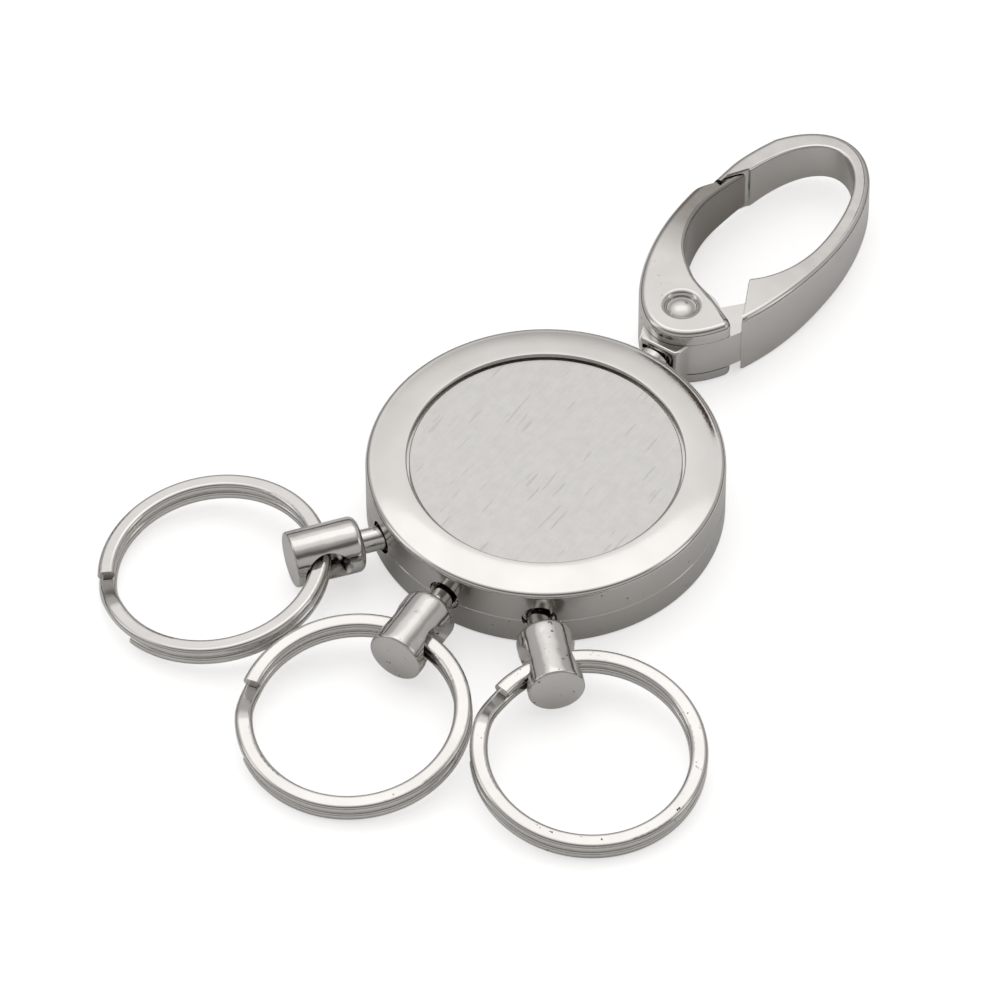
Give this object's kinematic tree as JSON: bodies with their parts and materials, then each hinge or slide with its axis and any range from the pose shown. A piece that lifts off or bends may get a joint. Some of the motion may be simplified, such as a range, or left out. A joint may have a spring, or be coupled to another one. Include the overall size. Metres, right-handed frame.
{
  "type": "key organiser",
  "caption": "Round metal key organiser: a swivelling snap hook with a sprung gate on one side, and pull-out swivel pins holding split rings on the other.",
  "frame": {"origin": "centre of the disc's back face", "axes": "+Z from the back face to the front plate, +Y from the disc's centre along the snap hook"},
  "size_m": [0.0611, 0.0924, 0.0069],
  "materials": {
    "polished_shell": "polished nickel plate with a soft crown",
    "brushed_plate": "finely brushed along the hook's axis",
    "satin_hook": "nickel plate over a die-cast body, polished edges and satin sides",
    "turned_pin": "turned and plated, lightly marked",
    "ring_wire": "plated spring wire, smooth",
    "button_steel": "spun finish with a dished face",
    "spring_wire": "drawn spring wire",
    "bush_brass": "turned brass",
    "core_plastic": "moulded acetal, matte",
    "zinc_screw": "zinc-plated screws"
  },
  "bodies": {
    "housing": {"front_shell": "polished_shell", "back_shell": "polished_shell", "inner_core": "core_plastic", "front_plate": "brushed_plate", "housing_screws": "zinc_screw", "swivel_bush": "bush_brass", "lock_spring_1": "spring_wire", "lock_spring_2": "spring_wire", "lock_spring_3": "spring_wire", "button_spring": "spring_wire"},
    "button": {"release_button": "button_steel", "release_plate": "button_steel"},
    "hook": {"swivel_post": "turned_pin", "hook_frame": "satin_hook", "gate_rivet": "turned_pin", "gate_spring": "spring_wire"},
    "gate": {"hook_gate": "satin_hook"},
    "sleeve_1": {"plug_sleeve_1": "turned_pin"},
    "pin_1": {"swivel_pin_1": "turned_pin", "pin_nose_1": "turned_pin"},
    "ring_1": {"split_ring_1": "ring_wire"},
    "sleeve_2": {"plug_sleeve_2": "turned_pin"},
    "pin_2": {"swivel_pin_2": "turned_pin", "pin_nose_2": "turned_pin"},
    "ring_2": {"split_ring_2": "ring_wire"},
    "sleeve_3": {"plug_sleeve_3": "turned_pin"},
    "pin_3": {"swivel_pin_3": "turned_pin", "pin_nose_3": "turned_pin"},
    "ring_3": {"split_ring_3": "ring_wire"}
  },
  "joints": [
    {"name": "button_press", "type": "slide", "parent": "housing", "child": "button", "axis": [0, 0, 1], "range_m": [0, 0.0006], "stiffness_N_per_m": 900, "springref_m": -0.0012, "deforming": ["button_spring"]},
    {"name": "hook_swivel", "type": "hinge", "parent": "housing", "child": "hook", "pos_m": [0, 0.0175, 0.00345], "axis": [0, 1, 0], "continuous": true},
    {"name": "gate_hinge", "type": "hinge", "parent": "hook", "child": "gate", "pos_m": [-0.0002, 0.0227, 0.00345], "axis": [0, 0, -1], "range_deg": [0, 26], "stiffness_Nm_per_rad": 0.012, "springref_deg": -20.05},
    {"name": "sleeve_pull_1", "type": "slide", "parent": "housing", "child": "sleeve_1", "axis": [-0.6088, -0.7934, 0], "range_m": [0, 0.008], "deforming": ["lock_spring_1"]},
    {"name": "pin_swivel_1", "type": "hinge", "parent": "sleeve_1", "child": "pin_1", "pos_m": [-0.01207, -0.01831, 0.00345], "axis": [-0.6088, -0.7934, 0], "range_deg": [-150, 150]},
    {"name": "ring_swing_1", "type": "hinge", "parent": "pin_1", "child": "ring_1", "pos_m": [-0.01207, -0.01831, 0.00345], "axis": [-0.6361, 0.7716, 0], "range_deg": [-120, 120]},
    {"name": "sleeve_pull_2", "type": "slide", "parent": "housing", "child": "sleeve_2", "axis": [0.061, -0.9981, 0], "range_m": [0, 0.008], "deforming": ["lock_spring_2"]},
    {"name": "pin_swivel_2", "type": "hinge", "parent": "sleeve_2", "child": "pin_2", "pos_m": [0.00034, -0.02194, 0.00345], "axis": [-0.061, 0.9981, 0], "range_deg": [-150, 150]},
    {"name": "ring_swing_2", "type": "hinge", "parent": "pin_2", "child": "ring_2", "pos_m": [0.00034, -0.02194, 0.00345], "axis": [0.999, 0.0454, 0], "range_deg": [-90, 90]},
    {"name": "sleeve_pull_3", "type": "slide", "parent": "housing", "child": "sleeve_3", "axis": [0.7009, -0.7133, 0], "range_m": [0, 0.008], "deforming": ["lock_spring_3"]},
    {"name": "pin_swivel_3", "type": "hinge", "parent": "sleeve_3", "child": "pin_3", "pos_m": [0.01259, -0.01786, 0.00345], "axis": [0.7009, -0.7133, 0], "range_deg": [-150, 150]},
    {"name": "ring_swing_3", "type": "hinge", "parent": "pin_3", "child": "ring_3", "pos_m": [0.01259, -0.01786, 0.00345], "axis": [0.585, 0.8111, 0], "range_deg": [-120, 120]}
  ]
}
